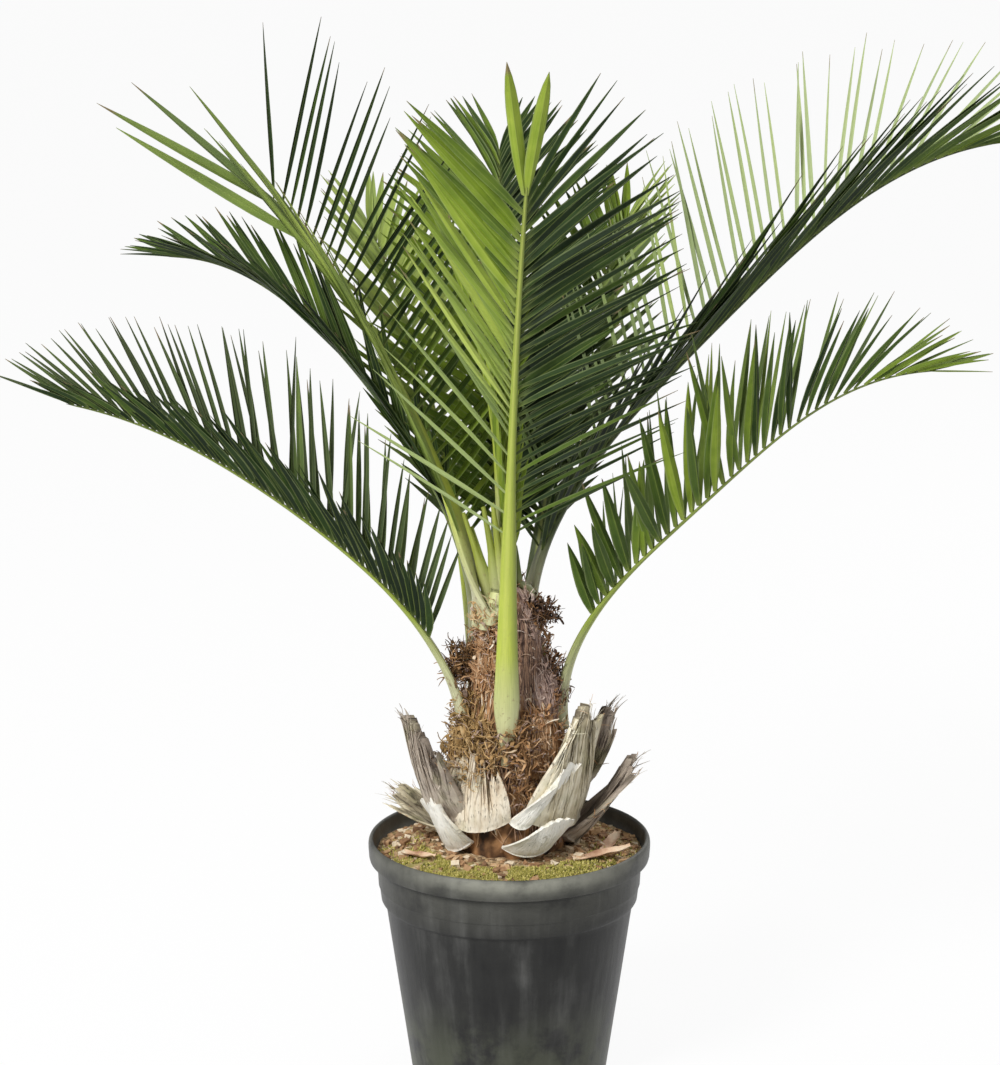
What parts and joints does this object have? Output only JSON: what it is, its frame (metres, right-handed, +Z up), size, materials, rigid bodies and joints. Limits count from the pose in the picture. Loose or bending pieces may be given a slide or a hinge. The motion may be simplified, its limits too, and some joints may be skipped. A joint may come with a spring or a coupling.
{
  "type": "potted chilean wine palm",
  "caption": "Young Chilean wine palm with feather-shaped fronds, a squat fibrous stem ringed by old leaf bases, and a round tapered nursery pot.",
  "frame": {"origin": "centre of the pot's underside, on the surface it stands on", "axes": "+Z up along the stem, -Y towards the front of the plant, +X to the right seen from the front"},
  "size_m": [1.1671, 0.7323, 1.115],
  "materials": {
    "pot_plastic": "dark charcoal, semi-matte, faint upright streaks",
    "potting_mix": "damp brown bark and peat mix",
    "moss": "green-yellow moss, soft",
    "dry_leaf": "dry, papery",
    "stem_bark": "rough brown",
    "boot_pale": "pale tan to white, dry, ribbed",
    "boot_weathered": "grey-tan, dry, ribbed, frayed",
    "fibre_orange": "orange-brown woven fibre",
    "fibre_dark": "dark brown woven fibre",
    "frond_green": "green, semi-gloss leaf",
    "frond_lime": "lime green, semi-gloss leaf"
  },
  "bodies": {
    "root": {"boot_back": "boot_weathered", "boot_back_right": "boot_weathered", "boot_grey_left": "boot_weathered", "boot_grey_right": "boot_weathered", "boot_low_back": "boot_weathered", "boot_low_far": "boot_weathered", "boot_low_left": "boot_weathered", "boot_slice_right": "boot_pale", "boot_spiked_right": "boot_weathered", "boot_tan_front": "boot_pale", "boot_white_front": "boot_pale", "boot_white_left": "boot_pale", "fibre_mat_left": "fibre_orange", "fibre_mat_right": "fibre_dark", "fibre_skirt_left": "fibre_orange", "fibre_skirt_right": "fibre_dark", "frond_back": "frond_green", "frond_back_left": "frond_green", "frond_back_right": "frond_green", "frond_front": "frond_green", "frond_lower_left": "frond_green", "frond_lower_right": "frond_green", "frond_mid_left": "frond_green", "frond_upper_left": "frond_green", "frond_upper_right": "frond_green", "leaf_scrap_left": "dry_leaf", "leaf_scrap_long": "dry_leaf", "leaf_scrap_right": "dry_leaf", "moss_mat": "moss", "pot": "pot_plastic", "potting_mix": "potting_mix", "spear_leaf": "frond_lime", "stem": "stem_bark"}
  },
  "joints": []
}
